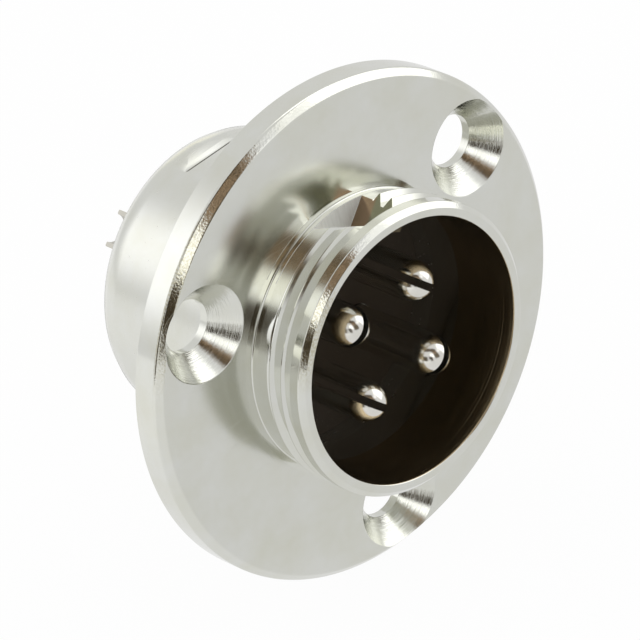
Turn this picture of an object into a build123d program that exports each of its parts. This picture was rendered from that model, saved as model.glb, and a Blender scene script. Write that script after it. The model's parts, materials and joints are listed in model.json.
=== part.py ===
"""Four-pin circular panel receptacle with a round three-screw flange.

The connector axis lies along Y and the mating end faces -Y. The origin is on that axis,
in the rear face of the flange, which seats on the panel. The polarising key is at +Z.
All sizes are in millimetres.
"""
import os
from math import cos, radians, sin, tan

from build123d import *

# Flange
flange_d = 32.0
flange_t = 2.2
flange_front_chamfer = 0.45
flange_rear_chamfer = 0.15
screw_count = 3
screw_circle_d = 25.6
screw_first_angle = 30.0
screw_hole_d = 3.3
screw_sink_d = 6.1
screw_sink_angle = 82.0

# Coupling barrel, in front of the flange
barrel_l = 4.8
land_d = 18.3
land_l = 1.05
land_chamfer = 0.35
relief_d = 17.4
relief_l = 1.5
thread_root_d = 17.04
thread_flank_angle = 30.0
socket_d = 16.6
socket_chamfer = 0.12

# Rear body, behind the flange
body_d = 18.5
body_l = 11.8
body_wall = 0.7
lip_radius = 2.4
seat_y = 3.0

# Polarising key: the barrel wall pressed inwards by a two-sided punch
key_gap = 0.4
key_l = 3.0
key_depth = 1.35
key_slope = 0.35
key_offset = 0.7
key_left_angle = 150.0
key_right_angle = 47.0
key_wall = 0.45
key_reach = 5.0

# Stake: a shallow cross groove that presses the rear body into the insulator
stake_y = 8.3
stake_depth = 0.25
stake_front_slope = 35.0
stake_rear_slope = 15.5
stake_rise = 0.5
stake_bump_w = 2.6
stake_bump_h = 0.3
stake_clearance = 0.08

# Insulator halves
face_y = 1.5
split_y = 6.5
insulator_clearance = 0.05
rear_boss_proud = 0.4
rear_boss_clearance = 0.1
rear_boss_chamfer = 0.3
contact_clearance = 0.04

# Contacts
contact_count = 4
contact_circle_d = 7.64
contact_first_angle = 45.0
pin_d = 2.6
pin_recess = 0.8
slot_w = 0.48
slot_l = 8.0
collar_d = 3.5
collar_t = 1.5
tail_d = 2.4
tail_end_y = 16.3
cup_bore_d = 1.8
cup_depth = 3.2
scoop_l = 2.4
scoop_slope_l = 0.5

# Radii and stations that follow from the sizes above
flange_r = flange_d / 2
land_r = land_d / 2
relief_r = relief_d / 2
root_r = thread_root_d / 2
socket_r = socket_d / 2
body_r = body_d / 2
seat_r = body_r - body_wall
rim_y = -flange_t - barrel_l
relief_y = -flange_t - relief_l
land_end_y = rim_y + land_l
flank_l = (land_r - root_r) * tan(radians(thread_flank_angle))
lip_y = body_l - lip_radius
lip_opening_r = body_r - lip_radius
lip_seat = lip_radius - body_wall
key_root_r = socket_r - key_depth
contact_circle_r = contact_circle_d / 2
contact_angles = [contact_first_angle + k * 360 / contact_count for k in range(contact_count)]


def key_wedge(wall):
    """The two-sided punch, grown by a wall, that climbs forwards along its right-hand side."""
    half_opening = radians(key_left_angle - key_right_angle) / 2
    bisector = radians(key_left_angle + key_right_angle) / 2
    right_side = radians(key_right_angle)
    left_side = radians(key_left_angle)
    setback = wall / sin(half_opening)
    drop = wall * key_slope
    apex_x = key_offset - setback * cos(bisector) - drop * cos(right_side)
    apex_z = key_root_r - setback * sin(bisector) - drop * sin(right_side)
    right = (apex_x + key_reach * cos(right_side), apex_z + key_reach * sin(right_side))
    left = (apex_x + key_reach * cos(left_side), apex_z + key_reach * sin(left_side))
    start_y = -flange_t - key_gap + wall
    run = key_l + 2 * wall
    climb = run * key_slope
    with BuildPart() as wedge:
        with BuildSketch(Plane.XZ.offset(-start_y)):
            with BuildLine():
                Polyline((apex_x, apex_z), right, left, close=True)
            make_face()
        extrude(
            amount=(run**2 + climb**2) ** 0.5,
            dir=(climb * cos(right_side), -run, climb * sin(right_side)),
        )
    return wedge.part


def stake_wedge(root_z, rise, width):
    """A shallow prism across the top of the rear body, with a steep front and an easy rear."""
    with BuildPart() as wedge:
        with BuildSketch(Plane.YZ):
            with BuildLine():
                Polyline(
                    (stake_y, root_z),
                    (stake_y + rise / tan(radians(stake_rear_slope)), root_z + rise),
                    (stake_y - rise / tan(radians(stake_front_slope)), root_z + rise),
                    close=True,
                )
            make_face()
        extrude(amount=width / 2, both=True)
    return wedge.part


# The key as it stands inside the socket, kept under the thread root
with BuildPart() as key_bulge:
    add(key_wedge(key_wall))
    with BuildSketch(Plane.XZ.offset(flange_t - key_wall)):
        Circle((socket_r + root_r) / 2)
    extrude(amount=barrel_l, mode=Mode.INTERSECT)

# Shell: flange, barrel and rear body are turned from one bar, with the rear lip rolled in
with BuildPart() as shell:
    with BuildSketch(Plane.XY):
        with BuildLine():
            Polyline(
                (body_r, lip_y),
                (body_r, 0),
                (flange_r - flange_rear_chamfer, 0),
                (flange_r, -flange_rear_chamfer),
                (flange_r, -flange_t + flange_front_chamfer),
                (flange_r - flange_front_chamfer, -flange_t),
                (relief_r, -flange_t),
                (relief_r, relief_y + relief_r - root_r),
                (root_r, relief_y),
                (root_r, land_end_y + flank_l),
                (land_r, land_end_y),
                (land_r, rim_y + land_chamfer),
                (land_r - land_chamfer, rim_y),
                (socket_r + socket_chamfer, rim_y),
                (socket_r, rim_y + socket_chamfer),
                (socket_r, seat_y),
                (seat_r, seat_y),
                (seat_r, lip_y),
                (lip_opening_r, lip_y + lip_seat),
                (lip_opening_r, body_l),
            )
            CenterArc((lip_opening_r, lip_y), lip_radius, 0, 90)
        make_face()
    revolve(axis=Axis.Y)
    with Locations(Plane.XZ.offset(flange_t)):
        with PolarLocations(screw_circle_d / 2, screw_count, start_angle=screw_first_angle):
            CounterSinkHole(
                radius=screw_hole_d / 2,
                counter_sink_radius=screw_sink_d / 2,
                counter_sink_angle=screw_sink_angle,
                depth=flange_t * 2,
            )
    add(key_bulge.part)
    add(key_wedge(0), mode=Mode.SUBTRACT)
    add(stake_wedge(seat_r - stake_bump_h, stake_bump_h + body_wall / 4, stake_bump_w))
    add(stake_wedge(body_r - stake_depth, stake_rise, body_d / 2), mode=Mode.SUBTRACT)
shell.part.label = "shell"

# Front insulator: a boss in the socket bore and a wider disc against the shell's shoulder
with BuildPart() as front_insulator:
    with BuildSketch(Plane.XY):
        with BuildLine():
            Polyline(
                (0, face_y),
                (socket_r - insulator_clearance, face_y),
                (socket_r - insulator_clearance, seat_y),
                (seat_r - insulator_clearance, seat_y),
                (seat_r - insulator_clearance, split_y),
                (0, split_y),
                close=True,
            )
        make_face()
    revolve(axis=Axis.Y)
    with BuildSketch(Plane.XZ.offset(-face_y)):
        with PolarLocations(contact_circle_r, contact_count, start_angle=contact_first_angle):
            Circle(pin_d / 2 + contact_clearance)
    extrude(amount=-(split_y - face_y), mode=Mode.SUBTRACT)
front_insulator.part.label = "front_insulator"

# Rear insulator: pockets for the contact collars, a bevel under the rolled lip, a tail boss
with BuildPart() as rear_insulator:
    with BuildSketch(Plane.XY):
        with BuildLine():
            disc_r = seat_r - insulator_clearance
            boss_r = lip_opening_r - rear_boss_clearance
            boss_end_y = body_l + rear_boss_proud
            Polyline(
                (0, split_y),
                (disc_r, split_y),
                (disc_r, lip_y - insulator_clearance),
                (boss_r, lip_y - insulator_clearance + disc_r - boss_r),
                (boss_r, boss_end_y - rear_boss_chamfer),
                (boss_r - rear_boss_chamfer, boss_end_y),
                (0, boss_end_y),
                close=True,
            )
        make_face()
    revolve(axis=Axis.Y)
    with BuildSketch(Plane.XZ.offset(-split_y)):
        with PolarLocations(contact_circle_r, contact_count, start_angle=contact_first_angle):
            Circle(tail_d / 2 + contact_clearance)
    extrude(amount=-(boss_end_y - split_y), mode=Mode.SUBTRACT)
    with BuildSketch(Plane.XZ.offset(-split_y)):
        with PolarLocations(contact_circle_r, contact_count, start_angle=contact_first_angle):
            Circle(collar_d / 2 + contact_clearance)
    extrude(amount=-(collar_t + contact_clearance), mode=Mode.SUBTRACT)
    pocket_root = seat_r - stake_bump_h - stake_clearance
    add(
        stake_wedge(pocket_root, 2 * stake_bump_h, stake_bump_w + 2 * stake_clearance),
        mode=Mode.SUBTRACT,
    )
rear_insulator.part.label = "rear_insulator"


def turned_contact(angle):
    """One contact: slotted dome pin, collar trapped between the insulators, solder cup."""
    out = (cos(radians(angle)), 0, sin(radians(angle)))
    centre = (contact_circle_r * out[0], 0, contact_circle_r * out[2])
    section = Plane(origin=centre, x_dir=out, z_dir=(-out[2], 0, out[0]))
    pin_r = pin_d / 2
    tail_r = tail_d / 2
    cup_r = cup_bore_d / 2
    dome_y = rim_y + pin_recess + pin_r
    scoop_y = tail_end_y - scoop_l
    with BuildPart() as contact:
        with BuildSketch(section):
            with BuildLine():
                CenterArc((0, dome_y), pin_r, -90, 90)
                Polyline(
                    (pin_r, dome_y),
                    (pin_r, split_y),
                    (collar_d / 2, split_y),
                    (collar_d / 2, split_y + collar_t),
                    (tail_r, split_y + collar_t),
                    (tail_r, tail_end_y),
                    (cup_r, tail_end_y),
                    (cup_r, tail_end_y - cup_depth),
                    (0, tail_end_y - cup_depth - cup_r / 2),
                    (0, dome_y - pin_r),
                )
            make_face()
        revolve(axis=Axis(centre, (0, 1, 0)))
        with BuildSketch(section):
            with Locations((0, dome_y - pin_r + slot_l / 2)):
                Rectangle(slot_w, slot_l)
        extrude(amount=pin_d, both=True, mode=Mode.SUBTRACT)
        with BuildSketch(section):
            with BuildLine():
                Polyline(
                    (0, tail_end_y + tail_r),
                    (0, scoop_y + scoop_slope_l),
                    (tail_d, scoop_y - scoop_slope_l),
                    (tail_d, tail_end_y + tail_r),
                    close=True,
                )
            make_face()
        extrude(amount=tail_d, both=True, mode=Mode.SUBTRACT)
    return contact


contacts = []
for number, angle in enumerate(contact_angles, start=1):
    contact = turned_contact(angle)
    contact.part.label = f"contact_{number}"
    contacts.append(contact)

os.makedirs("parts", exist_ok=True)
export_step(shell.part, "parts/shell.step")
export_step(front_insulator.part, "parts/front_insulator.step")
export_step(rear_insulator.part, "parts/rear_insulator.step")
for contact in contacts:
    export_step(contact.part, f"parts/{contact.part.label}.step")
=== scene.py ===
# %% [markdown]
# # A four-pin panel receptacle
#
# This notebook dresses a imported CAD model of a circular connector: a turned, nickel-plated shell
# with a round flange, four slotted pins in a black insulator, and solder cups at the rear.
# The connector axis is Y, the mating end faces -Y, and the polarising key is at +Z.
# Every length is in metres, so a size quoted from a drawing is multiplied by `MM`.

# %% Load the frame
import json
from math import cos, pi, radians, sin, tan

import bmesh
import bpy
from mathutils import Matrix, Vector


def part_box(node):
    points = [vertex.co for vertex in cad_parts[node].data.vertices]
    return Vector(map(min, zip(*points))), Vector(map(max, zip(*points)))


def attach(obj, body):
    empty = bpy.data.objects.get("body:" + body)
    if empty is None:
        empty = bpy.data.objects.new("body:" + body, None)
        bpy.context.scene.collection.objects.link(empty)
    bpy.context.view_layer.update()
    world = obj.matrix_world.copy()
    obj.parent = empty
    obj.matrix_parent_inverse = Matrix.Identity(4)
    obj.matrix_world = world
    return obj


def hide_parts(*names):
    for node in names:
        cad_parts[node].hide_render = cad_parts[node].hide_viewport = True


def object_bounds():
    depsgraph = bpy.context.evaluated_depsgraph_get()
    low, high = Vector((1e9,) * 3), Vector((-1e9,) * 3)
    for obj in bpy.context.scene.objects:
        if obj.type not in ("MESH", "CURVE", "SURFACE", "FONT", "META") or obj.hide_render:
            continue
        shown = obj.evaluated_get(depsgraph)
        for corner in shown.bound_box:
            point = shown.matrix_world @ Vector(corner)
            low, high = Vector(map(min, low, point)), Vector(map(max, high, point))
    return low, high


MM = 0.001
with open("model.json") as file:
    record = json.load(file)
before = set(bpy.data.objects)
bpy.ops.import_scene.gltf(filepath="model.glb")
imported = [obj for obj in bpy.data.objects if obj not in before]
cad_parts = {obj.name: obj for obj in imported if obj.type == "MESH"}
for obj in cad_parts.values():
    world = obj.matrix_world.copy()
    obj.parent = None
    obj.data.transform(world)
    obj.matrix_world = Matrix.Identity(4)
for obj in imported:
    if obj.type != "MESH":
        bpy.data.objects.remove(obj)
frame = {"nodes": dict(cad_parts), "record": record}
cad_low, cad_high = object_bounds()
print("nodes:", sorted(frame["nodes"]))
print("CAD box in mm:", [round(c / MM, 2) for c in (*cad_low, *cad_high)])

# %% [markdown]
# ## Sizes
#
# Whatever the frame already knows is read from it, so the looks follow the CAD model when it
# changes: the boxes of the nodes give the long dimensions, and the mounts give the screw circle,
# the pin circle and the thread. The remaining values are the small ones, such as chamfers and
# the key's angles, and they repeat the CAD model's driving dimensions.

# %% Sizes from the frame
dims = {mount["name"]: mount["dims"] for mount in frame["record"]["mounts"]}
shell_low, shell_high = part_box("shell")
front_low, front_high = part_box("front_insulator")
rear_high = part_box("rear_insulator")[1]
pin_low, pin_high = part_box("contact_1")

flange_r = shell_high.x
rim_y = shell_low.y
body_end_y = shell_high.y
body_r = dims["panel_cutout"]["r_mm"] * MM
land_r = dims["coupling_thread"]["r_mm"] * MM
screw_circle_r = dims["panel_screws"]["pcd_mm"] * MM / 2
screw_count = dims["panel_screws"]["count"]
screw_hole_r = dims["panel_screws"]["hole_r_mm"] * MM
pin_circle_r = dims["contact_field"]["pcd_mm"] * MM / 2
pin_count = dims["contact_field"]["count"]
face_y = front_low.y
split_y = front_high.y
boss_end_y = rear_high.y
disc_r = rear_high.x
tail_end_y = pin_high.y
print("flange radius", round(flange_r / MM, 2), "rim at", round(rim_y / MM, 2),
      "body end at", round(body_end_y / MM, 2))

# %% Sizes that repeat the CAD model's
flange_t = 2.2 * MM
flange_front_chamfer = 0.45 * MM
flange_rear_chamfer = 0.15 * MM
screw_first_angle = radians(30)
screw_sink_r = 3.05 * MM
screw_sink_half_angle = radians(41)
body_wall = 0.7 * MM
socket_r = 8.3 * MM
seat_y = 3.0 * MM
relief_r = 8.7 * MM
relief_l = 1.5 * MM
root_r = 8.52 * MM
thread_flank = radians(30)
land_l = 1.05 * MM
land_chamfer = 0.35 * MM
lip_r = 2.4 * MM
key_gap = 0.4 * MM
key_l = 3.0 * MM
key_depth = 1.35 * MM
key_slope = 0.35
key_offset = 0.7 * MM
key_left = radians(150)
key_right = radians(47)
key_wall = 0.45 * MM
key_reach = 5.0 * MM
stake_y = 8.3 * MM
pin_r = 1.3 * MM
pin_first_angle = radians(45)
tail_r = 1.2 * MM
collar_r = 1.75 * MM
collar_t = 1.5 * MM

# %% Stations and radii that follow
front_y = -flange_t
relief_end_y = front_y - relief_l
land_end_y = rim_y + land_l
lip_y = body_end_y - lip_r
seat_r = body_r - body_wall
key_root_r = socket_r - key_depth
key_start_y = front_y - key_gap
key_front_y = key_start_y - key_l - key_wall
screw_ring = {"Count": screw_count, "Circle Radius": screw_circle_r,
              "First Angle": screw_first_angle}
pin_ring = {"Count": pin_count, "Circle Radius": pin_circle_r, "First Angle": pin_first_angle}
print("thread from", round(relief_end_y / MM, 2), "to", round(land_end_y / MM, 2), "mm")

# %% [markdown]
# ## The camera
#
# The photograph looks down on the mating end from the upper left through a long lens, so the
# flange's circle is an ellipse with almost no convergence. The camera's place and its right and
# up directions come from circles fitted to the flange, the rim, the pins and the screw holes.
# The photograph is turned a little about its line of sight, and the roll sits in these vectors.

# %% Camera
def placed(name, data):
    """An object that shows some data, linked to the scene."""
    obj = bpy.data.objects.new(name, data)
    bpy.context.scene.collection.objects.link(obj)
    return obj


camera_place = Vector((-0.17846, -0.23738, 0.19320))
camera_right = Vector((0.70346, -0.68361, -0.19447))
camera_up = Vector((0.50330, 0.28595, 0.81543))
focal_length_px = 5913.8
image_px = 640
sensor_mm = 36.0

camera_data = bpy.data.cameras.new("camera")
camera_data.sensor_width = sensor_mm
camera_data.lens = focal_length_px * sensor_mm / image_px
camera_data.clip_start = 0.01
camera = placed("camera", camera_data)
camera_back = camera_right.cross(camera_up)
turn = Matrix((camera_right, camera_up, camera_back)).transposed()
camera.matrix_world = Matrix.Translation(camera_place) @ turn.to_4x4()
bpy.context.scene.camera = camera
print("lens", round(camera_data.lens, 1), "mm")

# %% [markdown]
# ## Small tools for node trees
#
# A tree is easier to read when a node is made, set and wired on one line. `add_node` makes a
# node, sets its properties, and fills its inputs: a socket is linked and anything else is a value.
# The other helpers stand for one node or one short chain each, and give back the output socket.
# `new_group` opens a node group with named inputs and outputs.

# %% Node helpers
def fill(tree, node, inputs):
    """Link each input that is given a socket, and set each that is given a value."""
    for name, value in inputs.items():
        if isinstance(value, bpy.types.NodeSocket):
            tree.links.new(value, node.inputs[name])
        else:
            node.inputs[name].default_value = value


def add_node(tree, kind, inputs=None, **settings):
    """Make a node, set its properties, and fill its inputs."""
    node = tree.nodes.new(kind)
    for name, value in settings.items():
        setattr(node, name, value)
    fill(tree, node, inputs or {})
    return node


def new_group(name, kind, inputs, outputs):
    """A node group whose inputs are {name: (socket type, default)} and outputs {name: type}."""
    tree = bpy.data.node_groups.new(name, kind)
    for label, (socket_type, default) in inputs.items():
        socket = tree.interface.new_socket(label, in_out="INPUT", socket_type=socket_type)
        if default is not None:
            socket.default_value = default
    for label, socket_type in outputs.items():
        tree.interface.new_socket(label, in_out="OUTPUT", socket_type=socket_type)
    group_in = tree.nodes.new("NodeGroupInput")
    group_out = tree.nodes.new("NodeGroupOutput")
    return tree, group_in.outputs, group_out.inputs


FLOAT = "NodeSocketFloat"
VECTOR = "NodeSocketVector"
GEOMETRY = "NodeSocketGeometry"


# %% Numbers and vectors
def calc(tree, operation, a, b=0.0, c=0.0):
    """One Math node."""
    return add_node(tree, "ShaderNodeMath", {0: a, 1: b, 2: c}, operation=operation).outputs[0]


def product(tree, first, *others):
    """Several factors multiplied."""
    for other in others:
        first = calc(tree, "MULTIPLY", first, other)
    return first


def summed(tree, start, terms):
    """A start value plus each (mask, amount) pair's product."""
    for mask, amount in terms:
        start = calc(tree, "MULTIPLY_ADD", mask, amount, start)
    return start


def vector_calc(tree, operation, *vectors):
    """One Vector Math node."""
    node = add_node(tree, "ShaderNodeVectorMath", dict(enumerate(vectors)), operation=operation)
    return node.outputs["Value" if operation in ("DOT_PRODUCT", "LENGTH") else "Vector"]


def xyz_of(tree, vector):
    """A vector's X, Y and Z sockets."""
    return add_node(tree, "ShaderNodeSeparateXYZ", {0: vector}).outputs


def from_xyz(tree, **axes):
    """A vector made of some of X, Y and Z."""
    return add_node(tree, "ShaderNodeCombineXYZ", axes).outputs[0]


# %% Masks, patterns and colours
def above(tree, value, limit):
    """A mask for values above a limit."""
    return calc(tree, "GREATER_THAN", value, limit)


def below(tree, value, limit):
    """A mask for values below a limit."""
    return calc(tree, "LESS_THAN", value, limit)


def near(tree, value, middle, reach):
    """A mask for values within a reach of the middle."""
    return calc(tree, "COMPARE", value, middle, reach)


def ramped(tree, value, start, end, bottom=0.0, top=1.0, **settings):
    """A value taken from start..end to bottom..top."""
    return add_node(tree, "ShaderNodeMapRange", {
        "Value": value, "From Min": start, "From Max": end, "To Min": bottom, "To Max": top},
        **settings).outputs[0]


def noise(tree, place, scale, detail, **inputs):
    """A Noise Texture's strength at a place."""
    return add_node(tree, "ShaderNodeTexNoise", {
        "Vector": place, "Scale": scale, "Detail": detail, **inputs}).outputs["Fac"]


def mixed(tree, factor, a, b):
    """Two colours mixed."""
    a, b = (v if isinstance(v, bpy.types.NodeSocket) else (*v, 1.0) for v in (a, b))
    node = add_node(tree, "ShaderNodeMix", {"Factor": factor, "A": a, "B": b}, data_type="RGBA")
    return node.outputs["Result"]


def use_group(tree, group, inputs):
    """Place a shader group in a tree and give back its outputs."""
    return add_node(tree, "ShaderNodeGroup", inputs, node_tree=group).outputs


# %% [markdown]
# ## The surroundings
#
# Polished metal shows what stands round it, so most of this look is made by the surroundings.
# The photograph was taken in a white tent. Followed back from the metal, its reflections show a
# soft box on the right and a second one behind on the left, smaller lights over the top, over the
# far shoulder and low behind, a bright patch round the lens, and dark brown gaps in the tent
# beside that patch. Cards could stand in for them, but a card has hard edges. Here the world
# itself has soft-edged patches, each placed by azimuth and elevation, and only reflections see
# them. The camera sees plain white, and matt surfaces get an even light.

# %% Directions and the patch group
def direction(azimuth, elevation):
    """The unit vector at an azimuth from -Y towards +X and an elevation, both in degrees."""
    a, e = radians(azimuth), radians(elevation)
    return Vector((sin(a) * cos(e), -cos(a) * cos(e), sin(e)))


patch_group, group_in, group_out = new_group(
    "soft_edged_patch", "ShaderNodeTree",
    {"Direction": (VECTOR, None), "Centre": (VECTOR, None), "Side": (VECTOR, None),
     "Half Width": (FLOAT, 0.2), "Half Height": (FLOAT, 0.2), "Softness": (FLOAT, 0.2)},
    {"Mask": FLOAT})
depth = vector_calc(patch_group, "DOT_PRODUCT", group_in["Direction"], group_in["Centre"])
upward = vector_calc(patch_group, "CROSS_PRODUCT", group_in["Centre"], group_in["Side"])
outer = calc(patch_group, "ADD", 1.0, group_in["Softness"])
inner = calc(patch_group, "SUBTRACT", 1.0, group_in["Softness"])
mask = above(patch_group, depth, 0.0)
for axis, half in ((group_in["Side"], "Half Width"), (upward, "Half Height")):
    offset = vector_calc(patch_group, "DOT_PRODUCT", group_in["Direction"], axis)
    offset = calc(patch_group, "ABSOLUTE", calc(patch_group, "DIVIDE", offset, depth))
    share = calc(patch_group, "DIVIDE", offset, group_in[half])
    edge = ramped(patch_group, share, outer, inner, interpolation_type="SMOOTHSTEP")
    mask = product(patch_group, mask, edge)
patch_group.links.new(mask, group_out["Mask"])
print("patch group:", len(patch_group.nodes), "nodes")

# %% [markdown]
# ### Lights and gaps
#
# Each row is a patch: azimuth, elevation, half width and half height in degrees, softness, and
# colour. The gaps are not even, so a mottle mixes their colour with a darker brown. The tent
# has one brightness for the metal's reflections and another for the light on matt surfaces.

# %% World
tent_for_metal = 0.83
tent_for_matt = 0.9
white = (1.0, 1.0, 1.0)
white_light = (1.7, 1.7, 1.68)
gap_brown = (0.045, 0.035, 0.022)
mottle_scale = 34.0
lights = {
    "right_box": (67, 29, 25, 26, 0.15, white_light),
    "left_box": (-145, 28, 15, 16, 0.7, (1.45, 1.45, 1.47)),
    "over_the_top": (28, 41, 13, 7, 0.25, (1.25, 1.25, 1.25)),
    "over_the_shoulder": (118, 54, 14, 12, 0.5, (2.0, 2.0, 2.0)),
    "low_behind": (150, 3, 9, 7, 0.3, (1.2, 1.18, 1.05)),
    "lens_patch": (-35, 32, 9, 11, 0.3, white_light),
}
gaps = {
    "gap_above": (-9, 47, 12, 10, 0.2, (0.72, 0.5, 0.32)),
    "gap_higher": (-42, 62, 28, 8, 0.3, (0.2, 0.135, 0.08)),
    "gap_in_front": (-7, 25, 14, 14, 0.25, (0.28, 0.215, 0.14)),
    "gap_on_the_left": (-42.5, 13, 5.5, 13, 0.25, (0.2, 0.15, 0.09)),
    "gap_beside_it": (-48.5, 18.5, 5.5, 7.5, 0.15, (0.06, 0.045, 0.03)),
    "gap_far_left": (-76, 9, 14, 16, 0.3, (0.19, 0.145, 0.09)),
}

world = bpy.data.worlds.new("tent")
bpy.context.scene.world = world
world.use_nodes = True
tree = world.node_tree
tree.nodes.clear()
looking = add_node(tree, "ShaderNodeTexCoord").outputs["Generated"]
mottle = ramped(tree, noise(tree, looking, mottle_scale, 3.0), 0.48, 0.58)
light = (tent_for_metal,) * 3
for name, row in {**lights, **gaps}.items():
    azimuth, elevation, half_width, half_height, softness, color = row
    if name in gaps:
        color = mixed(tree, mottle, gap_brown, color)
    patch = use_group(tree, patch_group, {
        "Direction": looking, "Centre": direction(azimuth, elevation),
        "Side": direction(azimuth + 90, 0), "Softness": softness,
        "Half Width": tan(radians(half_width)), "Half Height": tan(radians(half_height))})
    light = mixed(tree, patch["Mask"], light, color)
    print(name, "at", azimuth, elevation)

path = add_node(tree, "ShaderNodeLightPath").outputs
unseen = mixed(tree, path["Is Camera Ray"], (tent_for_matt,) * 3, white)
unseen = mixed(tree, path["Is Transmission Ray"], unseen, white)
background = add_node(tree, "ShaderNodeBackground",
                      {"Color": mixed(tree, path["Is Glossy Ray"], unseen, light)})
add_node(tree, "ShaderNodeOutputWorld", {"Surface": background.outputs[0]})
bpy.context.scene.view_settings.view_transform = "Standard"

# %% [markdown]
# ### The floor and the lamp
#
# The part stands on a plain pale floor. Seen by the camera it is nearly white but keeps a faint
# shadow, and seen in the metal it is as bright as the tent, a little brighter towards the rear
# left. One wide lamp on the right gives the matt surfaces and that shadow a side. The metal
# doesn't see it, because its reflection is already in the world.

# %% Floor
floor_half = 1.5
floor_grey = 0.9
floor_white_share = 0.96
glow_dim, glow_bright = 0.82, 1.02
glow_from, glow_to = -0.01, 0.07
floor_mesh = bpy.data.meshes.new("floor")
floor_corners = [(x * floor_half, y * floor_half, cad_low.z)
                 for x, y in ((-1, -1), (1, -1), (1, 1), (-1, 1))]
floor_mesh.from_pydata(floor_corners, [], [(0, 1, 2, 3)])
floor = placed("floor", floor_mesh)

floor_material = bpy.data.materials.new("pale_floor")
floor_material.use_nodes = True
tree = floor_material.node_tree
tree.nodes.clear()
path = add_node(tree, "ShaderNodeLightPath").outputs
xyz = xyz_of(tree, add_node(tree, "ShaderNodeTexCoord").outputs["Object"])
leftwards = calc(tree, "SUBTRACT", xyz["Y"], xyz["X"])
glow = ramped(tree, leftwards, glow_from, glow_to, glow_dim, glow_bright)
glow = calc(tree, "MAXIMUM", glow, path["Is Camera Ray"])
matt = add_node(tree, "ShaderNodeBsdfDiffuse", {"Color": (floor_grey, floor_grey, floor_grey, 1)})
glowing = add_node(tree, "ShaderNodeEmission", {"Color": (1, 1, 1, 1), "Strength": glow})
mirrored = calc(tree, "MAXIMUM", path["Is Glossy Ray"], path["Is Transmission Ray"])
share = calc(tree, "MULTIPLY_ADD", path["Is Camera Ray"], floor_white_share, mirrored)
mix = add_node(tree, "ShaderNodeMixShader", {0: share, 1: matt.outputs[0], 2: glowing.outputs[0]})
add_node(tree, "ShaderNodeOutputMaterial", {"Surface": mix.outputs[0]})
floor_mesh.materials.append(floor_material)
print("floor at", round(cad_low.z / MM, 2), "mm")

# %% Lamp
lamp_distance = 0.6
lamp_size = 0.4
lamp_radiance = 0.7
lamp_away = direction(75, 33)
lamp_data = bpy.data.lights.new("side_lamp", "AREA")
lamp_data.size = lamp_size
lamp_data.energy = lamp_radiance * pi * lamp_size ** 2
lamp = placed("side_lamp", lamp_data)
lamp.matrix_world = (Matrix.Translation(lamp_away * lamp_distance)
                     @ lamp_away.to_track_quat("Z", "Y").to_matrix().to_4x4())
lamp.visible_glossy = False
print("lamp", lamp_distance, "m away")

# %% [markdown]
# ## Making turned parts
#
# Shell, pins and insulators are all turned or moulded round an axis. A lathe needs two things: a
# half section whose corners are rounded as a tool or plating leaves them, and a sweep round Y.
# `rounded` replaces each corner by an arc, with a guard point just outside each end. The guard
# keeps the smooth shading of the arc from bleeding into the flat beside it. A Bevel modifier
# could do the same after the sweep, but here each corner can have a radius of its own.

# %% Lathe helpers
ARC_STEPS = 5
GUARD = 0.05 * MM
MERGE = 1e-8


def rounded(corners):
    """Turn (r, y, radius) corners into a section with an arc at each corner that has a radius."""
    points = []
    for number, (r, y, radius) in enumerate(corners):
        here = Vector((r, y))
        if radius == 0:
            points.append(here)
            continue
        back = (Vector(corners[number - 1][:2]) - here).normalized()
        onward = (Vector(corners[(number + 1) % len(corners)][:2]) - here).normalized()
        half_angle = back.angle(onward) / 2
        reach = radius / tan(half_angle)
        centre = here + (back + onward).normalized() * radius / sin(half_angle)
        start = here + back * reach - centre
        end = here + onward * reach - centre
        points.append(centre + start + back * GUARD)
        sweep = start.angle_signed(end)
        for step in range(ARC_STEPS + 1):
            points.append(centre + Matrix.Rotation(-sweep * step / ARC_STEPS, 2) @ start)
        points.append(centre + end + onward * GUARD)
    return points


def solid_from(bm, name):
    """Close the poles, point the faces outwards and make the object."""
    bmesh.ops.remove_doubles(bm, verts=bm.verts, dist=MERGE)
    bmesh.ops.recalc_face_normals(bm, faces=bm.faces)
    mesh = bpy.data.meshes.new(name)
    bm.to_mesh(mesh)
    bm.free()
    return placed(name, mesh)


def turned(name, section, segments):
    """Sweep a closed section, or one that starts and ends on the axis, round Y into a solid."""
    bm = bmesh.new()
    rings = []
    for step in range(segments):
        angle = 2 * pi * step / segments
        rings.append([bm.verts.new((p.x * cos(angle), p.y, p.x * sin(angle))) for p in section])
    on_axis = section[0].x == 0 and section[-1].x == 0
    spans = len(section) - 1 if on_axis else len(section)
    for step in range(segments):
        this, after = rings[step], rings[(step + 1) % segments]
        for k in range(spans):
            m = (k + 1) % len(section)
            bm.faces.new((this[k], this[m], after[m], after[k]))
    return solid_from(bm, name)


def plug_of(name, radius, low_y, high_y, segments):
    """A plain round bar between two stations, to cut or keep with."""
    ends = ((0, low_y), (radius, low_y), (radius, high_y), (0, high_y))
    return turned(name, [Vector(end) for end in ends], segments)


def prism(name, corners, push):
    """A solid between a flat outline and the same outline moved by a push."""
    bm = bmesh.new()
    low = [bm.verts.new(c) for c in corners]
    high = [bm.verts.new(Vector(c) + Vector(push)) for c in corners]
    bm.faces.new(low)
    bm.faces.new(high)
    for k in range(len(corners)):
        m = (k + 1) % len(corners)
        bm.faces.new((low[k], low[m], high[m], high[k]))
    return solid_from(bm, name)


# %% [markdown]
# ### Adding and cutting
#
# Holes, the key and the stake are cut from the turned blank with Boolean modifiers, the way a
# machinist works. The stack is evaluated once into a plain mesh, and the cutters are deleted.
# Edges sharper than the arcs' own steps are then marked sharp, so flats stay flat in the light.

# %% Boolean helpers
SHARP_ANGLE = radians(24)


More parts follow.
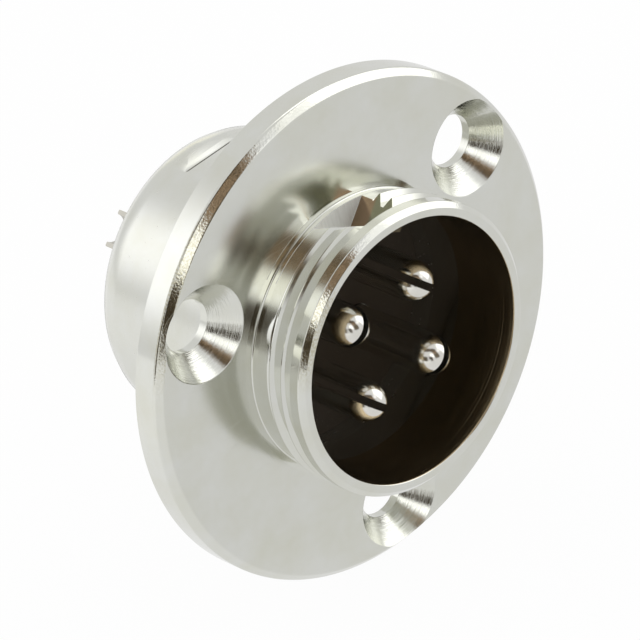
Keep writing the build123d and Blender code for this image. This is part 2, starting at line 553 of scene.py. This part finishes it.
def plain_mesh(obj):
    """Replace an object's mesh by its evaluated one and drop the modifiers."""
    graph = bpy.context.evaluated_depsgraph_get()
    mesh = bpy.data.meshes.new_from_object(obj.evaluated_get(graph))
    obj.modifiers.clear()
    obj.data = mesh
    return obj


def machined(blank, steps):
    """Apply (operation, tool object) steps to a blank, and clear the tools away."""
    for operation, tool in steps:
        modifier = blank.modifiers.new(tool.name, "BOOLEAN")
        modifier.operation = operation
        modifier.object = tool
        modifier.solver = "EXACT"
    plain_mesh(blank)
    for _, tool in steps:
        bpy.data.objects.remove(tool)
    return blank


def smoothed(obj):
    """Smooth shading that stops at real edges."""
    obj.data.shade_smooth()
    obj.data.set_sharp_from_angle(angle=SHARP_ANGLE)
    return obj


def plated(obj, material):
    """Give a machined piece its one material, smooth it and count its triangles."""
    obj.data.materials.clear()
    obj.data.materials.append(material)
    smoothed(obj)
    print(obj.name, sum(len(face.vertices) - 2 for face in obj.data.polygons), "triangles")


# %% [markdown]
# ## Repeating pieces round the axis
#
# The screw holes and the pins sit on circles. This Geometry Nodes tree puts copies of one object
# on a circle round Y and turns each so that its own +X points outwards. Count, radius and first
# angle are inputs, so one tree serves the three screw holes and the four pins.

# %% Geometry Nodes helpers
def put_out(tree, geometry, material, group_out):
    """Make the copies real, give them the material and send them out of the tree."""
    real = add_node(tree, "GeometryNodeRealizeInstances", {"Geometry": geometry})
    painted = add_node(tree, "GeometryNodeSetMaterial",
                       {"Geometry": real.outputs[0], "Material": material})
    tree.links.new(painted.outputs[0], group_out["Geometry"])


def grown(name, tree, values):
    """Run a Geometry Nodes tree with {input name: value} and keep its result as a plain mesh."""
    obj = placed(name, bpy.data.meshes.new(name))
    modifier = obj.modifiers.new(name, "NODES")
    modifier.node_group = tree
    keys = {item.name: item.identifier for item in tree.interface.items_tree
            if item.item_type == "SOCKET" and item.in_out == "INPUT"}
    for label, value in values.items():
        modifier[keys[label]] = value
    return plain_mesh(obj)


# %% Ring tree
ring_tree, ring_in, ring_out = new_group(
    "ring_of_copies", "GeometryNodeTree",
    {"Piece": ("NodeSocketObject", None), "Count": ("NodeSocketInt", 1),
     "Circle Radius": (FLOAT, 0.01), "First Angle": (FLOAT, 0.0),
     "Material": ("NodeSocketMaterial", None)},
    {"Geometry": GEOMETRY})
number = add_node(ring_tree, "GeometryNodeInputIndex").outputs[0]
gap = calc(ring_tree, "DIVIDE", 2 * pi, ring_in["Count"])
angle = calc(ring_tree, "MULTIPLY_ADD", number, gap, ring_in["First Angle"])
across = product(ring_tree, calc(ring_tree, "COSINE", angle), ring_in["Circle Radius"])
upward = product(ring_tree, calc(ring_tree, "SINE", angle), ring_in["Circle Radius"])
points = add_node(ring_tree, "GeometryNodePoints",
                  {"Count": ring_in["Count"], "Position": from_xyz(ring_tree, X=across, Z=upward)})
piece = add_node(ring_tree, "GeometryNodeObjectInfo", {"Object": ring_in["Piece"]})
copies = add_node(ring_tree, "GeometryNodeInstanceOnPoints",
                  {"Points": points.outputs[0], "Instance": piece.outputs["Geometry"],
                   "Rotation": from_xyz(ring_tree, Y=product(ring_tree, angle, -1.0))})
put_out(ring_tree, copies.outputs[0], ring_in["Material"], ring_out)
print("ring tree:", len(ring_tree.nodes), "nodes")

# %% [markdown]
# ## Finish: turning marks
#
# A turned surface carries the tool's fine rings. They follow the radius on a face and the length
# on a cylinder, so one coordinate, radius plus a share of length, gives rings on both. The screw
# holes were sunk one by one, and their rings run round their own axes. The first group measures
# that distance by folding the angle into one hole's sector. The second turns a coordinate into
# rings of uneven depth.

# %% Hole distance group
hole_group, group_in, group_out = new_group(
    "distance_from_hole_axis", "ShaderNodeTree",
    {"Position": (VECTOR, None), "Circle Radius": (FLOAT, 0.01), "Count": (FLOAT, 3.0),
     "First Angle": (FLOAT, 0.0)},
    {"Distance": FLOAT, "Axis Distance": FLOAT, "Along": FLOAT})
xyz = xyz_of(hole_group, group_in["Position"])
from_axis = vector_calc(hole_group, "LENGTH", from_xyz(hole_group, X=xyz["X"], Z=xyz["Z"]))
clock = calc(hole_group, "ARCTAN2", xyz["Z"], xyz["X"])
clock = calc(hole_group, "SUBTRACT", clock, group_in["First Angle"])
sector = calc(hole_group, "DIVIDE", 2 * pi, group_in["Count"])
nearest = calc(hole_group, "ROUND", calc(hole_group, "DIVIDE", clock, sector))
folded = calc(hole_group, "SUBTRACT", clock, product(hole_group, nearest, sector))
sideways = product(hole_group, from_axis, calc(hole_group, "SINE", folded))
outwards = product(hole_group, from_axis, calc(hole_group, "COSINE", folded))
outwards = calc(hole_group, "SUBTRACT", outwards, group_in["Circle Radius"])
distance = vector_calc(hole_group, "LENGTH", from_xyz(hole_group, X=sideways, Y=outwards))
hole_group.links.new(distance, group_out["Distance"])
hole_group.links.new(from_axis, group_out["Axis Distance"])
hole_group.links.new(xyz["Y"], group_out["Along"])

# %% Turning marks group
length_share = 1.37
wide_scale = 0.13
wide_share = 0.6
marks_group, group_in, group_out = new_group(
    "turning_marks", "ShaderNodeTree",
    {"Coordinate": (FLOAT, 0.0), "Feed": (FLOAT, 0.1 * MM), "Unevenness": (FLOAT, 0.6)},
    {"Height": FLOAT})
turns = calc(marks_group, "DIVIDE", group_in["Coordinate"], group_in["Feed"])
fine, wide = (
    add_node(marks_group, "ShaderNodeTexNoise", {"W": turns, **inputs},
             noise_dimensions="1D").outputs["Fac"]
    for inputs in ({"Scale": 1.0, "Detail": 2.0, "Roughness": group_in["Unevenness"]},
                   {"Scale": wide_scale, "Detail": 1.0}))
marks_group.links.new(summed(marks_group, fine, ((wide, wide_share),)), group_out["Height"])

# %% [markdown]
# ## Finish: plating haze
#
# Bright plating is never a perfect mirror. It is a little hazier in some places than in others,
# it follows the slight waviness of the metal under it, and handling leaves hair-fine scuffs. This
# group gives a haze mask, a soft waviness height, a scuff mask and a fine grain, and both metals
# use it.

# %% Haze group
wave_share = 0.7
scuff_share = 0.3
grain_share = 6.0
haze_group, group_in, group_out = new_group(
    "plating_haze", "ShaderNodeTree",
    {"Position": (VECTOR, None), "Patch Size": (FLOAT, 3 * MM), "Scuff Size": (FLOAT, 0.8 * MM)},
    {"Haze": FLOAT, "Wave": FLOAT, "Scuffs": FLOAT, "Grain": FLOAT})
position = group_in["Position"]
patch_scale = calc(haze_group, "DIVIDE", 1.0, group_in["Patch Size"])
scuff_scale = calc(haze_group, "DIVIDE", 1.0, group_in["Scuff Size"])
stretched = add_node(haze_group, "ShaderNodeMapping", {
    "Vector": position, "Rotation": (0.5, 0.9, 0.3), "Scale": (1, 14, 14)}).outputs[0]
scuffs = noise(haze_group, stretched, product(haze_group, scuff_scale, scuff_share), 3.0)
for label, value in {
        "Haze": noise(haze_group, position, patch_scale, 4.0, Roughness=0.6),
        "Wave": noise(haze_group, position, product(haze_group, patch_scale, wave_share), 1.0),
        "Scuffs": ramped(haze_group, scuffs, 0.66, 0.74),
        "Grain": noise(haze_group, position, product(haze_group, scuff_scale, grain_share), 2.0),
}.items():
    haze_group.links.new(value, group_out[label])
print("shader groups:", [group.name for group in bpy.data.node_groups])


# %% Material helpers
def new_material(name):
    """A material with one Principled BSDF, and its tree."""
    material = bpy.data.materials.new(name)
    material.use_nodes = True
    tree = material.node_tree
    return material, tree, tree.nodes["Principled BSDF"]


def bumped(tree, height, strength, distance):
    """A normal that a height leans by up to a distance."""
    return add_node(tree, "ShaderNodeBump", {
        "Strength": strength, "Distance": distance, "Height": height}).outputs[0]


# %% [markdown]
# ## Nickel plate
#
# The shell is turned brass under bright nickel: a warm, light grey metal. Its flange faces were
# tumbled and mirror softly, the barrel and the rim are brighter, and the countersinks are fresh
# cuts with rings that break the reflections into lines. All of that is one material. Masks from
# the position and from the surface's own direction choose how hazy each region is. A mask is
# allowed a small reach, because a mesh never lies exactly on its plane or cylinder.

# %% Nickel: regions of the shell
nickel, tree, bsdf = new_material("nickel_plate")
hair = 0.02 * MM
skin = 0.03 * MM
land_margin = 0.05 * MM
flat_enough = 0.98
edge_share = 0.75
coordinates = add_node(tree, "ShaderNodeTexCoord").outputs
place = coordinates["Object"]
xyz = xyz_of(tree, place)
facing = calc(tree, "ABSOLUTE", xyz_of(tree, coordinates["Normal"])["Y"])
hole = use_group(tree, hole_group, {"Position": place, **screw_ring})
along, from_axis = hole["Along"], hole["Axis Distance"]
in_hole = below(tree, hole["Distance"], screw_sink_r + hair)
soft_face = product(tree, above(tree, facing, flat_enough),
                    above(tree, from_axis, land_r + land_margin),
                    calc(tree, "SUBTRACT", 1.0, in_hole))
behind = above(tree, along, 0.0)
outer_edge = product(tree, above(tree, from_axis, flange_r - flange_front_chamfer),
                     below(tree, along, front_y * edge_share))
worn_edge = calc(tree, "MAXIMUM", outer_edge, below(tree, along, rim_y + land_chamfer))
in_bore = product(tree, near(tree, from_axis, socket_r, skin), below(tree, along, front_y))
# Painted shade: the bottom of the stake's groove is coloured dark, for shade in the crease.
painted_groove_shade = product(tree, near(tree, along, stake_y - skin, 2 * skin),
                    below(tree, from_axis, body_r - skin), above(tree, xyz["Z"], 0.0))
print("regions:", len(tree.nodes), "nodes")

# %% [markdown]
# ### Places with a tone of their own, and painted shade
#
# One wall of the key's notch is painted dark, olive in front and brown behind: painted shade deep
# in the notch. Its end wall is torn and matt. The dent's front end inside the bore is painted dark
# as a shadow under the rim, and the bottom of the stake's groove is painted dark as shade in the
# crease. The flange's edge and the rim are worn on the upper left, where a highlight falls; that
# gold tone is worn plating and also a painted tint that dims the highlight. It fades out along the
# edge.

# %% Nickel: the key's walls, painted shade, and the worn edges with a painted highlight tint
def in_plane(tree, place, point, normal, reach):
    """A mask for surface points that lie in a plane."""
    offset = vector_calc(tree, "SUBTRACT", place, point)
    return near(tree, vector_calc(tree, "DOT_PRODUCT", offset, normal), 0.0, reach)


key_point = Vector((key_offset, key_start_y, key_root_r))
at_key = product(tree, above(tree, xyz["Z"], key_root_r - key_wall / 2),
                 below(tree, along, key_start_y + hair))
key_end = product(tree, at_key, in_plane(tree, place, key_point, (0, 1, 0), hair))
key_side = in_plane(tree, place, key_point, (-sin(key_right), 0, cos(key_right)), skin)
key_side = calc(tree, "MAXIMUM", calc(tree, "SUBTRACT", key_side, key_end), 0.0)
key_side = product(tree, at_key, key_side, above(tree, along, land_end_y))
# Painted shadow: the dent's front end in the bore is coloured dark, for the rim's shadow; it is
# also rougher.
bulge_end = product(tree, near(tree, along, key_front_y, hair),
                    below(tree, from_axis, socket_r - skin))
in_bore = calc(tree, "SUBTRACT", in_bore, calc(tree, "MAXIMUM", key_side, key_end))
in_bore = calc(tree, "MAXIMUM", in_bore, 0.0)
# Worn plating on the upper-left edge, placed where a highlight falls: its gold tone also paints
# that highlight dimmer.
leftwards = ramped(tree, calc(tree, "DIVIDE", xyz["X"], from_axis), -0.5, -0.62)
upwards = ramped(tree, calc(tree, "DIVIDE", xyz["Z"], from_axis), 0.25, 0.55)
rubbed_and_tinted_highlight = product(tree, leftwards, worn_edge, upwards)
print("with the key and the edges:", len(tree.nodes), "nodes")

# %% Nickel: rings, haze and roughness
axis_coordinate = calc(tree, "MULTIPLY_ADD", along, length_share, from_axis)
hole_coordinate = calc(tree, "SUBTRACT", hole["Distance"], along)
coordinate = add_node(tree, "ShaderNodeMix", {
    "Factor": in_hole, "A": axis_coordinate, "B": hole_coordinate}).outputs[0]
marks = use_group(tree, marks_group, {"Coordinate": coordinate, "Feed": 0.09 * MM})
haze = use_group(tree, haze_group, {"Position": place})

turned_roughness = 0.07
face_roughness = 0.16
behind_roughness = 0.2
hazy_length = 3.0 * MM
near_rim = ramped(tree, along, rim_y + hazy_length, rim_y, top=0.14)
roughness = summed(tree, turned_roughness, (
    (soft_face, face_roughness - turned_roughness), (behind, behind_roughness - turned_roughness),
    (haze["Haze"], 0.05), (haze["Scuffs"], 0.08), (key_end, 0.35), (key_side, 0.12),
    (in_bore, near_rim), (bulge_end, 0.3)))
print("flange face roughness", face_roughness)

# %% Nickel: colour
clean_nickel = (0.715, 0.72, 0.68)
warm_nickel = (0.675, 0.675, 0.6)
brown_from = key_start_y - 1.3 * MM
brown_to = key_start_y - 1.1 * MM
streak_scale = 900.0
# Painted shade: the notch's right wall gets a dark metal colour, olive in front and brown behind.
notch_wall_shade = mixed(tree, ramped(tree, along, brown_from, brown_to),
                   (0.22, 0.22, 0.15), (0.28, 0.2, 0.13))
streaks = add_node(tree, "ShaderNodeMapping", {
    "Vector": place, "Rotation": (0, 0.6, 0), "Scale": (9, 1, 1)}).outputs[0]
streaks = noise(tree, streaks, streak_scale, 3.0)
torn = mixed(tree, streaks, (0.72, 0.72, 0.68), (0.95, 0.95, 0.92))
rub_and_highlight_grain = ramped(tree, haze["Grain"], 0.42, 0.6, 0.2, 0.6)
color = mixed(tree, ramped(tree, haze["Haze"], 0.35, 0.75), clean_nickel, warm_nickel)
# Tones by mask: the notch wall, the bulge end and the groove bottom are painted shade, and the worn
# edge tone also tints a highlight.
for mask, tone in (
        (key_side, notch_wall_shade),
        (in_bore, (0.6, 0.5, 0.34)),
        (bulge_end, (0.1, 0.08, 0.05)),
        (product(tree, rubbed_and_tinted_highlight, rub_and_highlight_grain), (0.45, 0.41, 0.26)),
        (key_end, torn),
        (painted_groove_shade, (0.12, 0.11, 0.09))):
    color = mixed(tree, mask, color, tone)
metallic = summed(tree, 1.0, ((key_end, -0.85),))

# %% Nickel: relief
relief_depth = 0.0012 * MM
mark_depth = summed(tree, 0.35, ((in_hole, 5.0), (in_bore, 10.0)))
grain_depth = summed(tree, 0.0, ((worn_edge, 5.0), (key_end, 8.0), (in_hole, 1.5)))
relief = summed(tree, 0.0, (
    (marks["Height"], mark_depth), (haze["Wave"], 3.0), (haze["Grain"], grain_depth)))
fill(tree, bsdf, {"Base Color": color, "Metallic": metallic, "Roughness": roughness,
                  "Normal": bumped(tree, relief, 1.0, relief_depth)})
print("nickel:", len(tree.nodes), "nodes")

# %% [markdown]
# ## Insulator and contact plate
#
# The insulator is a black-brown moulded thermoset. It is matt, with a fine grain from the mould
# and a few paler filler specks. The contacts are silver plated, a little whiter and smoother than
# the nickel, and they were turned too, so they take the turning marks round their own axes. The
# hole group finds those axes as well: it only needs the pins' circle and count. Behind the split
# the plate is duller, as the solder cup's tips are in the photograph.

# %% Insulator material
insulator, tree, bsdf = new_material("moulded_insulator")
grain_scale = 9000.0
speck_scale = 2600.0
cloud_scale = 500.0
mould_depth = 0.006 * MM
place = add_node(tree, "ShaderNodeTexCoord").outputs["Object"]
grain = noise(tree, place, grain_scale, 3.0)
cloud = noise(tree, place, cloud_scale, 3.0)
speck = add_node(tree, "ShaderNodeTexVoronoi", {"Vector": place, "Scale": speck_scale})
is_speck = ramped(tree, speck.outputs["Distance"], 0.16, 0.1, top=0.5)
color = mixed(tree, cloud, (0.017, 0.01, 0.004), (0.028, 0.017, 0.008))
fill(tree, bsdf, {
    "Base Color": mixed(tree, is_speck, color, (0.06, 0.05, 0.04)),
    "Roughness": summed(tree, 0.42, ((grain, 0.2),)),
    "Specular IOR Level": 0.35,
    "Normal": bumped(tree, grain, 0.5, mould_depth)})
print("insulator:", len(tree.nodes), "nodes")

# %% Contact material
contact_plate, tree, bsdf = new_material("contact_plate")
place = add_node(tree, "ShaderNodeTexCoord").outputs["Object"]
pin = use_group(tree, hole_group, {"Position": place, **pin_ring})
coordinate = calc(tree, "MULTIPLY_ADD", pin["Along"], length_share, pin["Distance"])
marks = use_group(tree, marks_group, {"Coordinate": coordinate, "Feed": 0.07 * MM})
haze = use_group(tree, haze_group, {
    "Position": place, "Patch Size": 1.2 * MM, "Scuff Size": 0.5 * MM})
tail = above(tree, pin["Along"], split_y)
color = mixed(tree, haze["Haze"], (0.82, 0.81, 0.77), (0.72, 0.7, 0.64))
relief = summed(tree, marks["Height"], ((haze["Wave"], 2.0),))
fill(tree, bsdf, {
    "Base Color": mixed(tree, tail, color, (0.5, 0.485, 0.43)),
    "Metallic": 1.0,
    "Roughness": summed(tree, 0.12, ((haze["Haze"], 0.08), (tail, 0.18), (haze["Scuffs"], 0.1))),
    "Normal": bumped(tree, relief, 0.6, relief_depth)})
print("materials:", [m.name for m in (nickel, insulator, contact_plate)])

# %% [markdown]
# ## The shell
#
# One half section holds the flange, the barrel and the rear body, and the sweep makes them one
# blank. Each visible edge has the small radius that tumbling leaves, and the rolled rear lip is
# the same kind of corner with a large radius.

# %% Shell blank
shell_segments = 288
small = 0.04 * MM
tumbled = 0.1 * MM
body_corner = 0.08 * MM
flange_corner = 0.25 * MM
rim_corner = 0.12 * MM
lip_seat = lip_r - body_wall
shell_section = rounded([
    (body_r, 0, body_corner),
    (flange_r - flange_rear_chamfer, 0, small),
    (flange_r, -flange_rear_chamfer, small),
    (flange_r, front_y + flange_front_chamfer, flange_corner),
    (flange_r - flange_front_chamfer, front_y, 2 * tumbled),
    (relief_r, front_y, tumbled),
    (relief_r, relief_end_y + relief_r - root_r, small),
    (root_r, relief_end_y, small),
    (root_r, land_end_y + (land_r - root_r) * tan(thread_flank), small),
    (land_r, land_end_y, small / 2),
    (land_r, rim_y + land_chamfer, tumbled),
    (land_r - land_chamfer, rim_y, tumbled),
    (socket_r, rim_y, rim_corner),
    (socket_r, seat_y, 0),
    (seat_r, seat_y, 0),
    (seat_r, lip_y, 0),
    (body_r - lip_r, lip_y + lip_seat, 0),
    (body_r - lip_r, body_end_y, small),
    (body_r, body_end_y, lip_r - small),
])
shell = turned("shell_finish", shell_section, shell_segments)
print("shell blank:", len(shell_section), "points in the section")

# %% [markdown]
# ### The coupling thread
#
# The CAD model leaves the barrel at its root diameter, so the thread is made here. It is a
# right-handed V ridge with a pitch of 1 mm that starts thin near the flange, grows to full depth
# in a sixth of a turn, and runs out into the land at the rim. A spiral with a swept profile says
# exactly that, and Geometry Nodes gives it in four steps: spiral, profile, sweep and turn.

# %% Thread tree
thread_tree, thread_in, thread_out = new_group(
    "coupling_thread", "GeometryNodeTree",
    {"Root Radius": (FLOAT, 0.0087), "Depth": (FLOAT, 0.00045), "Pitch": (FLOAT, 0.001),
     "Turns": (FLOAT, 2.5), "Start Y": (FLOAT, 0.0), "Start Angle": (FLOAT, 0.0),
     "Run Out": (FLOAT, 0.16), "Material": ("NodeSocketMaterial", None)},
    {"Geometry": GEOMETRY})
sunk = 0.04 * MM
crest_half = 0.03 * MM
thinnest = 0.02
points_a_turn = 144
spiral_r = calc(thread_tree, "SUBTRACT", thread_in["Root Radius"], sunk)
spiral = add_node(thread_tree, "GeometryNodeCurveSpiral", {
    "Resolution": points_a_turn, "Rotations": thread_in["Turns"], "Start Radius": spiral_r,
    "End Radius": spiral_r, "Reverse": True,
    "Height": product(thread_tree, thread_in["Pitch"], thread_in["Turns"])})
upright = add_node(thread_tree, "GeometryNodeSetCurveNormal", {"Curve": spiral.outputs[0]},
                   mode="Z_UP")
ridge = calc(thread_tree, "ADD", thread_in["Depth"], sunk)
half_base = calc(thread_tree, "MULTIPLY_ADD", ridge, tan(thread_flank), crest_half)
corners = ({"Y": product(thread_tree, half_base, -1.0)}, {"Y": half_base},
           {"X": ridge, "Y": crest_half}, {"X": ridge, "Y": -crest_half})
profile = add_node(
    thread_tree, "GeometryNodeCurvePrimitiveQuadrilateral",
    {f"Point {k + 1}": from_xyz(thread_tree, **corner) for k, corner in enumerate(corners)},
    mode="POINTS")
along = add_node(thread_tree, "GeometryNodeSplineParameter").outputs["Factor"]
growth = product(thread_tree, along, thread_in["Turns"])
growth = calc(thread_tree, "DIVIDE", growth, thread_in["Run Out"])
growth = calc(thread_tree, "MAXIMUM", calc(thread_tree, "MINIMUM", growth, 1.0), thinnest)
sweep = add_node(thread_tree, "GeometryNodeCurveToMesh", {
    "Curve": upright.outputs[0], "Profile Curve": profile.outputs[0], "Scale": growth,
    "Fill Caps": True})
clocked = add_node(thread_tree, "GeometryNodeTransform", {
    "Geometry": sweep.outputs[0], "Rotation": from_xyz(thread_tree, Z=thread_in["Start Angle"])})
laid = add_node(thread_tree, "GeometryNodeTransform", {
    "Geometry": clocked.outputs[0], "Rotation": (pi / 2, 0, 0),
    "Translation": from_xyz(thread_tree, Y=thread_in["Start Y"])})
put_out(thread_tree, laid.outputs[0], thread_in["Material"], thread_out)
print("thread tree:", len(thread_tree.nodes), "nodes")

# %% Thread
thread_pitch = 1.0 * MM
thread_crest_r = 9.13 * MM
thread_start_angle = radians(-75)
thread_setback = 1.3 * MM
share_under_land = 0.7
thread_start_y = front_y - thread_setback
thread_end_y = rim_y + share_under_land * land_l
thread_turns = (thread_start_y - thread_end_y) / thread_pitch
thread = grown("thread", thread_tree, {
    "Root Radius": root_r, "Depth": thread_crest_r - root_r, "Pitch": thread_pitch,
    "Turns": thread_turns, "Start Y": thread_start_y, "Start Angle": thread_start_angle})
print("thread:", round(thread_turns, 2), "turns,", len(thread.data.polygons), "faces")

# %% [markdown]
# ### The polarising key
#
# The key is the barrel wall itself, pressed inwards by a slanting two-sided punch. Outside it
# leaves a V notch that climbs forwards along its right-hand side, so it gets deeper towards the
# flange, and inside a ridge of the same form. The notch is a prism to cut with, and the ridge is
# the same prism grown by the wall and kept inside the thread root.

# %% Key tools
def outward(angle):
    """The direction across the axis at an angle from +X towards +Z."""
    return Vector((cos(angle), 0, sin(angle)))


def key_punch(name, wall):
    """The punch, grown by a wall, that climbs forwards along its right-hand side."""
    right_way = outward(key_right)
    setback = wall / sin((key_left - key_right) / 2)
    apex = (Vector((key_offset, key_start_y + wall, key_root_r)) - right_way * wall * key_slope
            - outward((key_left + key_right) / 2) * setback)
    run = key_l + 2 * wall
    push = right_way * run * key_slope - Vector((0, run, 0))
    outline = [apex, apex + right_way * key_reach, apex + outward(key_left) * key_reach]
    return prism(name, outline, push)


keep = plug_of("keep", (socket_r + root_r) / 2, rim_y + key_wall, front_y + key_wall,
               shell_segments)
bulge = machined(key_punch("bulge", key_wall), [("INTERSECT", keep)])
notch = key_punch("notch", 0)
print("key notch", round(key_l / MM, 2), "mm long")

# %% [markdown]
# ### Screw holes and stake
#
# The screw hole's cutter is turned too, with a narrow break at its mouth. Copies of it stand on
# the screw circle through the ring tree. The stake on the rear body is a shallow cross groove
# whose bottom is pressed into the insulator, so it has a groove outside and a bump inside. The
# groove's front slope is short, and its rear slope is long and eases off in two steps.

# %% Screw hole tools
hole_segments = 128
over = 0.1 * MM
break_w = 0.06 * MM
hole_edge = 0.03 * MM
sink_slope = tan(screw_sink_half_angle)
break_slope = tan((screw_sink_half_angle + pi / 2) / 2)
break_depth = break_w / 2 / (break_slope - sink_slope)
hole_section = rounded([
    (0, front_y - over, 0),
    (screw_sink_r + break_w / 2 + over * break_slope, front_y - over, 0),
    (screw_sink_r - break_depth * sink_slope, front_y + break_depth, hole_edge),
    (screw_hole_r, front_y + (screw_sink_r - screw_hole_r) / sink_slope, hole_edge),
    (screw_hole_r, over, 0),
    (0, over, 0),
])
hole_cutter = turned("hole_cutter", hole_section, hole_segments)
screw_holes = grown("screw_holes", ring_tree, {"Piece": hole_cutter, **screw_ring})
bpy.data.objects.remove(hole_cutter)
print("screw holes:", screw_count)

# %% Stake tools
stake_depth = 0.25 * MM
stake_bump_h = 0.3 * MM
stake_bump_w = 2.6 * MM
stake_front = tan(radians(35))
stake_rear = tan(radians(15.5))
groove_front = tan(radians(18))


def stake_prism(name, bottom_z, rise, width):
    """A shallow prism across the top of the rear body, steep in front and easy behind."""
    outline = [(-width / 2, stake_y, bottom_z),
               (-width / 2, stake_y + rise / stake_rear, bottom_z + rise),
               (-width / 2, stake_y - rise / stake_front, bottom_z + rise)]
    return prism(name, outline, (width, 0, 0))


stake_bump = stake_prism("stake_bump", seat_r - stake_bump_h, stake_bump_h + body_wall / 4,
                         stake_bump_w)
groove_steps = [(0, 0), (0.4, 0.13), (1.25, 0.257), (1.3, 0.5), (-0.5 / groove_front, 0.5)]
stake_groove = prism("stake_groove", [
    (-body_r / 2, stake_y + rearwards * MM, body_r - stake_depth + up * MM)
    for rearwards, up in groove_steps], (body_r, 0, 0))
print("stake groove", round(stake_depth / MM, 2), "mm deep")

# %% Machine the shell
shell = machined(shell, [
    ("UNION", thread), ("UNION", bulge), ("DIFFERENCE", notch), ("DIFFERENCE", screw_holes),
    ("UNION", stake_bump), ("DIFFERENCE", stake_groove)])
plated(shell, nickel)

# %% [markdown]
# ## The insulators
#
# The two halves of the insulator are turned blanks with four holes. In front, each pin passes
# through a hole that it nearly fills. The rear half has a pocket for each contact's collar, and
# shows as a low boss inside the rolled lip, where the solder cups come out.

# %% Insulator tools
bar_segments = 64
contact_clearance = 0.04 * MM


def hole_plugs(name, radius, low_y, high_y):
    """Four round bars on the pin circle, to cut the contact holes with."""
    bar = plug_of(name + "_bar", radius + contact_clearance, low_y, high_y, bar_segments)
    bars = grown(name, ring_tree, {"Piece": bar, **pin_ring})
    bpy.data.objects.remove(bar)
    return bars


pin_holes = hole_plugs("pin_holes", pin_r, face_y - over, split_y + over)
tail_holes = hole_plugs("tail_holes", tail_r, split_y - over, boss_end_y + over)
collar_pockets = hole_plugs("collar_pockets", collar_r, split_y - over,
                            split_y + collar_t + contact_clearance)
print("contact holes:", pin_count, "in each half")

# %% Insulators
insulator_segments = 192
face_fit = 0.005 * MM
stake_clearance = 0.08 * MM
boss_clearance = 0.1 * MM
boss_chamfer = 0.3 * MM
insulator_clearance = 0.05 * MM
front_insulator = turned("front_insulator_finish", rounded([
    (0, face_y, 0),
    (socket_r - face_fit, face_y, 0),
    (socket_r - face_fit, seat_y, 0),
    (disc_r, seat_y, small),
    (disc_r, split_y, small),
    (0, split_y, 0),
]), insulator_segments)
machined(front_insulator, [("DIFFERENCE", pin_holes)])

boss_r = body_r - lip_r - boss_clearance
bevel_y = lip_y - insulator_clearance
rear_insulator = turned("rear_insulator_finish", rounded([
    (0, split_y, 0),
    (disc_r, split_y, small),
    (disc_r, bevel_y, small),
    (boss_r, bevel_y + disc_r - boss_r, small),
    (boss_r, boss_end_y - boss_chamfer, tumbled),
    (boss_r - boss_chamfer, boss_end_y, tumbled),
    (0, boss_end_y, 0),
]), insulator_segments)
stake_pocket = stake_prism("stake_pocket", seat_r - stake_bump_h - stake_clearance,
                           2 * stake_bump_h, stake_bump_w + 2 * stake_clearance)
machined(rear_insulator, [
    ("DIFFERENCE", tail_holes), ("DIFFERENCE", collar_pockets), ("DIFFERENCE", stake_pocket)])
for piece in (front_insulator, rear_insulator):
    plated(piece, insulator)

# %% [markdown]
# ## The contacts
#
# A contact is turned with a drawn-out domed tip, a collar, and a drilled solder cup at the rear.
# Its pin is sawn through along the axis, so that the two halves spring, and the cup's outer wall
# is cut away for the wire. It is made once about its own axis, and the ring tree stands it on the
# pin circle four times, with the slot across the radius and the cup open outwards.

# %% Contact blank
contact_segments = 96
cup_r = 0.9 * MM
cup_depth = 3.2 * MM
cup_edge = 0.08 * MM
cup_floor = 0.05 * MM
apex_y = pin_low.y
dome_l = 1.65 * MM
dome_steps = 14
dome_angles = [pi / 2 * k / dome_steps for k in range(dome_steps)]
dome = [Vector((pin_r * sin(a), apex_y + dome_l * (1 - cos(a)))) for a in dome_angles]
contact_blank = turned("contact_blank", dome + rounded([
    (pin_r, apex_y + dome_l, 0),
    (pin_r, split_y, 0),
    (collar_r, split_y, small),
    (collar_r, split_y + collar_t, small),
    (tail_r, split_y + collar_t, 0),
    (tail_r, tail_end_y, cup_edge),
    (cup_r, tail_end_y, cup_edge),
    (cup_r, tail_end_y - cup_depth, cup_floor),
    (0, tail_end_y - cup_depth - cup_r / 2, 0),
]), contact_segments)


# %% Slot and solder cup
def cut_through(name, outline, radius):
    """A cutter that runs right through a bar, from an outline of (x, y) corners."""
    return prism(name, [(x, y, -2 * radius) for x, y in outline], (0, 0, 4 * radius))


slot_w = 0.48 * MM
slot_l = 8.0 * MM
scoop_l = 2.4 * MM
scoop_slope = 0.5 * MM
slot_low, slot_high = apex_y - pin_r, apex_y + slot_l
saw = cut_through("saw", [(-slot_w / 2, slot_low), (slot_w / 2, slot_low),
                          (slot_w / 2, slot_high), (-slot_w / 2, slot_high)], pin_r)
scoop_y = tail_end_y - scoop_l
scoop_end = tail_end_y + tail_r
scoop = cut_through("scoop", [(0, scoop_end), (0, scoop_y + scoop_slope),
                              (2 * tail_r, scoop_y - scoop_slope), (2 * tail_r, scoop_end)], tail_r)
smoothed(machined(contact_blank, [("DIFFERENCE", saw), ("DIFFERENCE", scoop)]))
print("contact:", len(contact_blank.data.polygons), "faces")

# %% Contacts
contacts = []
for number in range(pin_count):
    contacts.append(grown(f"contact_{number + 1}_finish", ring_tree, {
        **pin_ring, "Count": 1, "First Angle": pin_first_angle + number * 2 * pi / pin_count,
        "Piece": contact_blank, "Material": contact_plate}))
bpy.data.objects.remove(contact_blank)
print("contacts:", len(contacts), "with", len(contacts[0].data.polygons), "faces each")

# %% [markdown]
# ## Handing over
#
# Each finished piece takes the place of the CAD node with the same form, which is hidden, and
# rides on the only body. The table beside each piece also lists the record's finish it stands for.

pieces = {shell: ("shell", "nickel_plate"),
          front_insulator: ("front_insulator", "moulded_insulator"),
          rear_insulator: ("rear_insulator", "moulded_insulator")}
for number, contact in enumerate(contacts):
    pieces[contact] = (f"contact_{number + 1}", "contact_plate")
for piece, (node, finish) in pieces.items():
    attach(piece, "root")
    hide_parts(node)
